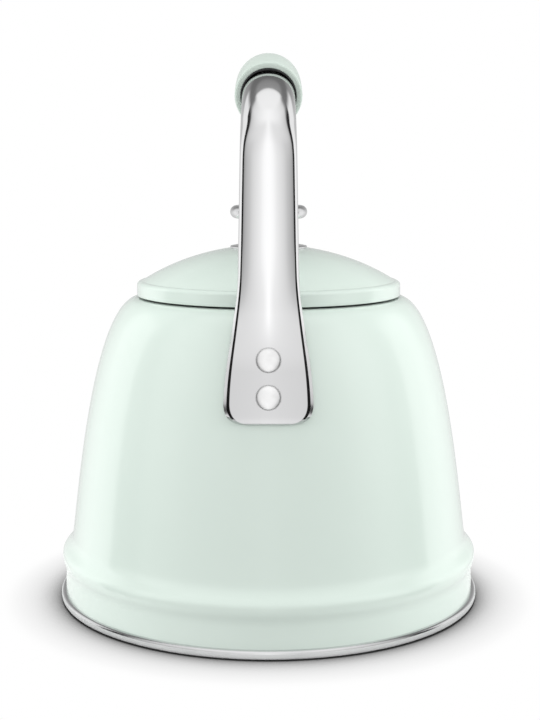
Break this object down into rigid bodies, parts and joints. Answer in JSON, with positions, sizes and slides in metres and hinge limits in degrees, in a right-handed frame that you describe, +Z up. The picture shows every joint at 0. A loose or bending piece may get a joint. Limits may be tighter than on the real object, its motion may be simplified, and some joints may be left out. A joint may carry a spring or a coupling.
{
  "type": "stovetop kettle",
  "caption": "Stovetop kettle with a domed body, lift-off lid with spool knob, arched handle on riveted straps, and a pull-off whistle on its spout.",
  "frame": {"origin": "centre of the flat base, on the surface that the kettle stands on", "axes": "+Z up, +Y towards the spout, +X to the right of someone who looks along +Y"},
  "size_m": [0.188, 0.2349, 0.2398],
  "materials": {
    "green_enamel": "glossy pastel enamel",
    "green_grip": "glossy pastel plastic",
    "polished_steel": "polished",
    "chrome": "mirror polished",
    "steel": "satin",
    "aluminium": "satin",
    "black_rubber": "matt",
    "black_plastic": "matt"
  },
  "bodies": {
    "kettle": {"body_shell": "green_enamel", "base_pan": "steel", "heat_disc": "aluminium", "base_cap": "steel", "base_ring": "chrome", "spout": "green_enamel", "spout_lip": "chrome", "rear_strap": "polished_steel", "front_strap": "polished_steel", "rear_rivets": "polished_steel", "front_rivets": "polished_steel", "rear_backing_plate": "steel", "front_backing_plate": "steel", "handle_core": "steel", "grip_sleeve": "green_grip", "grip_seal_rear": "black_rubber", "grip_seal_front": "black_rubber", "grip_screws": "steel", "strap_pins": "steel"},
    "lid": {"lid_shell": "green_enamel", "lid_collar": "steel", "lid_gasket": "black_rubber", "knob_flange": "chrome", "knob": "chrome", "knob_screw": "steel", "knob_washer": "steel"},
    "whistle": {"whistle_cap": "chrome", "whistle_disc_inner": "steel", "whistle_disc_outer": "steel", "whistle_seal": "black_rubber", "whistle_grip": "black_plastic"}
  },
  "joints": [
    {"name": "lid_lift", "type": "slide", "parent": "kettle", "child": "lid", "axis": [0, 0, 1], "range_m": [0, 0.034]},
    {"name": "whistle_pull", "type": "slide", "parent": "kettle", "child": "whistle", "axis": [0, 0.5299, 0.848], "range_m": [0, 0.03]}
  ]
}
